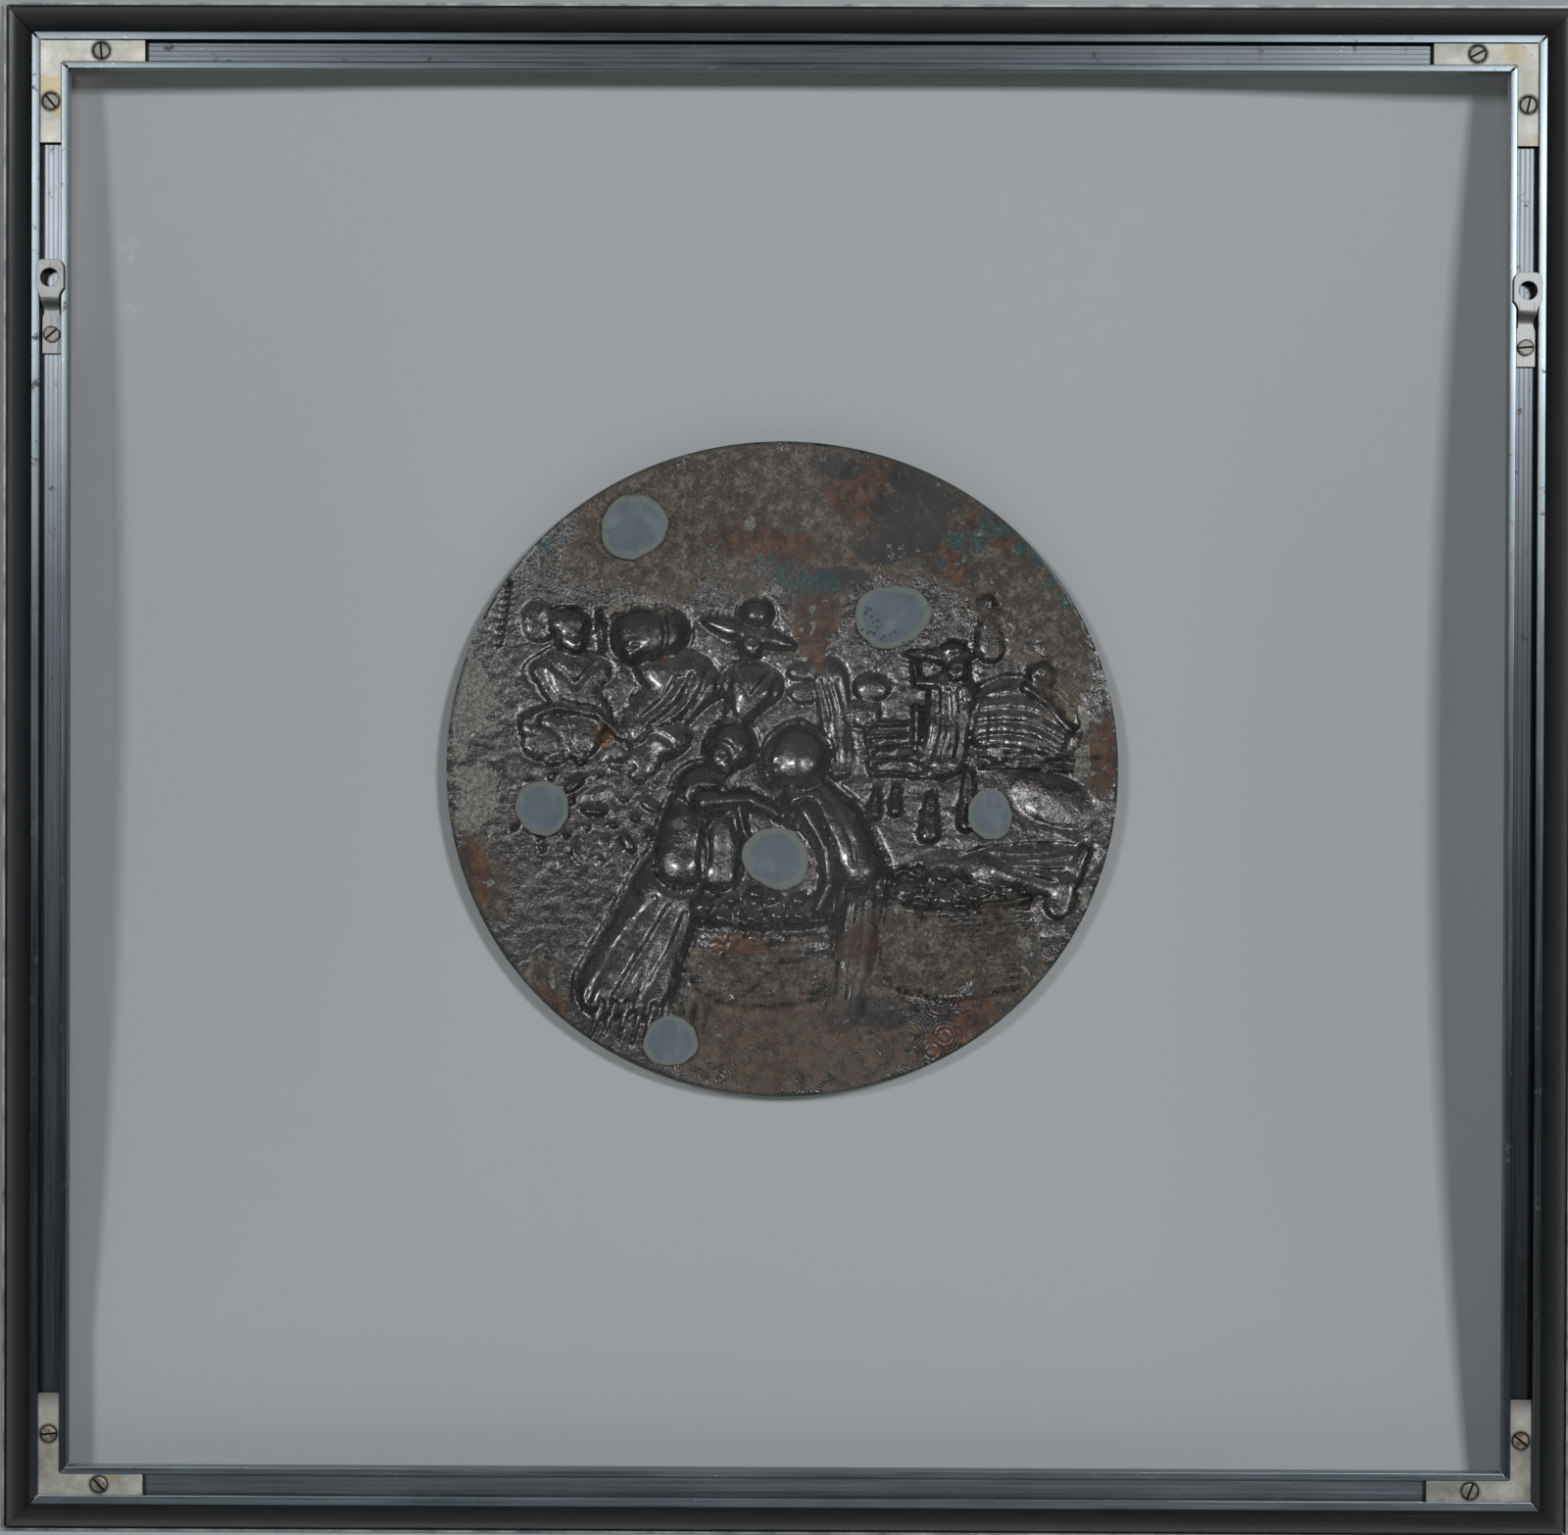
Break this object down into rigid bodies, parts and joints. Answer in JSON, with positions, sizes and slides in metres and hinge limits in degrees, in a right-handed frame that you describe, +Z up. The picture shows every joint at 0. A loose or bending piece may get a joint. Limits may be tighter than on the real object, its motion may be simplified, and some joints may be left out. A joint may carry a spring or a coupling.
{
  "type": "framed relief plaque",
  "caption": "Round dark metal relief of country people with baskets, held by adhesive pads to a clear pane in a slim black wall frame with a hardware channel and ring hangers behind.",
  "frame": {"origin": "midway between the two hanger holes, on the plane of the hanger rings' rear faces", "axes": "+X to the right as seen from the back, +Y towards the front face, +Z up"},
  "size_m": [0.6, 0.026, 0.585],
  "materials": {
    "black_anodised": "black anodised, lips polished by handling",
    "zinc_plate": "dull zinc plate with warm stains",
    "screw_steel": "dull plated steel",
    "hanger_steel": "dull plated steel",
    "clear_pane": "clear, faintly smeared",
    "adhesive": "matte translucent putty",
    "relief_metal": "dark glossy patina over brown copper, patches of verdigris"
  },
  "bodies": {
    "root": {"rail_top": "black_anodised", "rail_bottom": "black_anodised", "rail_left": "black_anodised", "rail_right": "black_anodised", "plate_top_left": "zinc_plate", "plate_top_right": "zinc_plate", "plate_bottom_left": "zinc_plate", "plate_bottom_right": "zinc_plate", "screw_top_left_a": "screw_steel", "screw_top_left_b": "screw_steel", "screw_top_right_a": "screw_steel", "screw_top_right_b": "screw_steel", "screw_bottom_left_a": "screw_steel", "screw_bottom_left_b": "screw_steel", "screw_bottom_right_a": "screw_steel", "screw_bottom_right_b": "screw_steel", "hanger_left": "hanger_steel", "hanger_right": "hanger_steel", "screw_hanger_left": "screw_steel", "screw_hanger_right": "screw_steel", "pane": "clear_pane", "adhesive_pad_1": "adhesive", "adhesive_pad_2": "adhesive", "adhesive_pad_3": "adhesive", "adhesive_pad_4": "adhesive", "adhesive_pad_5": "adhesive", "adhesive_pad_6": "adhesive", "plaque": "relief_metal"}
  },
  "joints": []
}
